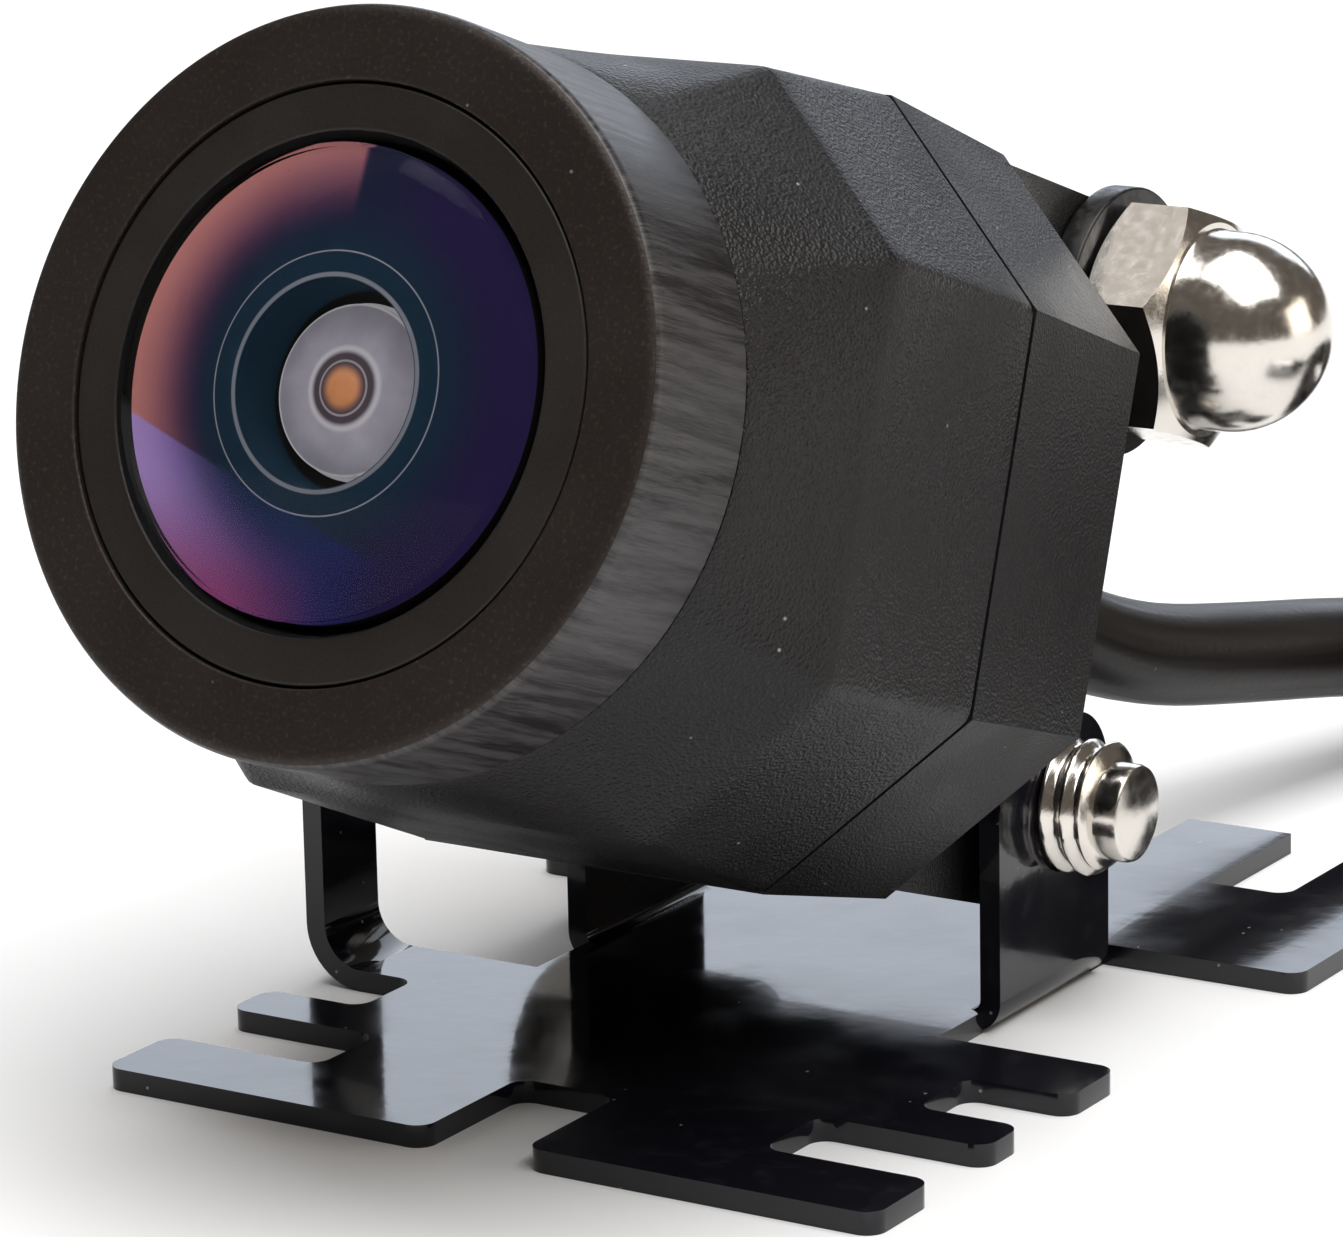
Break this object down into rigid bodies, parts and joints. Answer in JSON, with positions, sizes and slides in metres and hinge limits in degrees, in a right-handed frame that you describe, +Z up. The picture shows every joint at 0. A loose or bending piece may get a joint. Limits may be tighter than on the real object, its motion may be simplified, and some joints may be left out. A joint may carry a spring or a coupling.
{
  "type": "backup camera",
  "caption": "Small square-bodied backup camera on a bendable steel base, with a tilting head, a wide-angle lens and a short coiled lead.",
  "frame": {"origin": "underside of the base plate, at the middle of its length and width", "axes": "+Z up from the surface the base is fastened to, the lens looks towards -Y (tilted up), +X to the camera's left-hand side as it looks out"},
  "size_m": [0.0689, 0.1057, 0.0386],
  "materials": {
    "bracket_coat": "glossy black stove coat on steel",
    "nickel_plate": "bright nickel plate",
    "dark_steel": "black oxide steel",
    "black_nylon": "moulded black nylon",
    "white_nylon": "moulded natural nylon",
    "housing_paint": "coarse textured black coat on die-cast metal",
    "seal_rubber": "soft black rubber",
    "bezel_coat": "fine blasted black anodised face with a brushed band",
    "ring_coat": "smooth dark anodised ring",
    "lens_glass": "multi-coated optical glass",
    "inner_glass": "coated optical glass",
    "filter_glass": "infrared cut filter glass",
    "barrel_black": "flat black lens barrel",
    "chip_black": "moulded chip package",
    "board_green": "green solder resist",
    "cable_jacket": "satin black cable jacket",
    "core_colour": "coloured wire insulation",
    "plug_rubber": "moulded strain relief",
    "plug_metal": "plated brass shell",
    "pin_gold": "gold plated contact"
  },
  "bodies": {
    "bracket": {"bracket_base": "bracket_coat", "pivot_bolt": "nickel_plate", "spring_washer": "dark_steel", "friction_washers": "black_nylon", "pivot_spacer": "black_nylon", "cable_lead": "cable_jacket", "cable_coil": "cable_jacket", "cable_tail": "cable_jacket", "plug_boot": "plug_rubber", "plug_body": "plug_metal", "plug_insulator": "black_nylon", "plug_pins": "pin_gold"},
    "camera": {"acorn_nuts": "nickel_plate", "aperture_stop": "barrel_black", "bezel_ring": "bezel_coat", "board_link": "chip_black", "board_spacers": "nickel_plate", "cable_cores": "core_colour", "cable_gland": "seal_rubber", "cable_header": "white_nylon", "cable_jacket_end": "cable_jacket", "clamp_spacer": "black_nylon", "clamp_stud": "nickel_plate", "clamp_washers": "dark_steel", "cover_gasket": "seal_rubber", "front_housing": "housing_paint", "front_lens": "lens_glass", "housing_screws": "dark_steel", "image_sensor": "chip_black", "ir_cut_filter": "filter_glass", "lens_barrel": "barrel_black", "lens_holder": "barrel_black", "lens_lock_ring": "barrel_black", "lens_retaining_ring": "ring_coat", "lens_seal": "seal_rubber", "power_inductor": "chip_black", "rear_cover": "housing_paint", "rear_lens": "inner_glass", "second_lens": "inner_glass", "sensor_board": "board_green", "third_lens": "inner_glass", "video_board": "board_green", "video_processor": "chip_black"},
    "collar": {"plug_collar": "plug_metal"}
  },
  "joints": [
    {"name": "head_tilt", "type": "hinge", "parent": "bracket", "child": "camera", "pos_m": [0, 0.0024, 0.0072], "axis": [1, 0, 0], "range_deg": [-35, 20], "deforming": ["cable_lead"]},
    {"name": "collar_turn", "type": "hinge", "parent": "bracket", "child": "collar", "pos_m": [0.0465, 0.003, 0.0052], "axis": [0, 1, 0], "continuous": true}
  ]
}
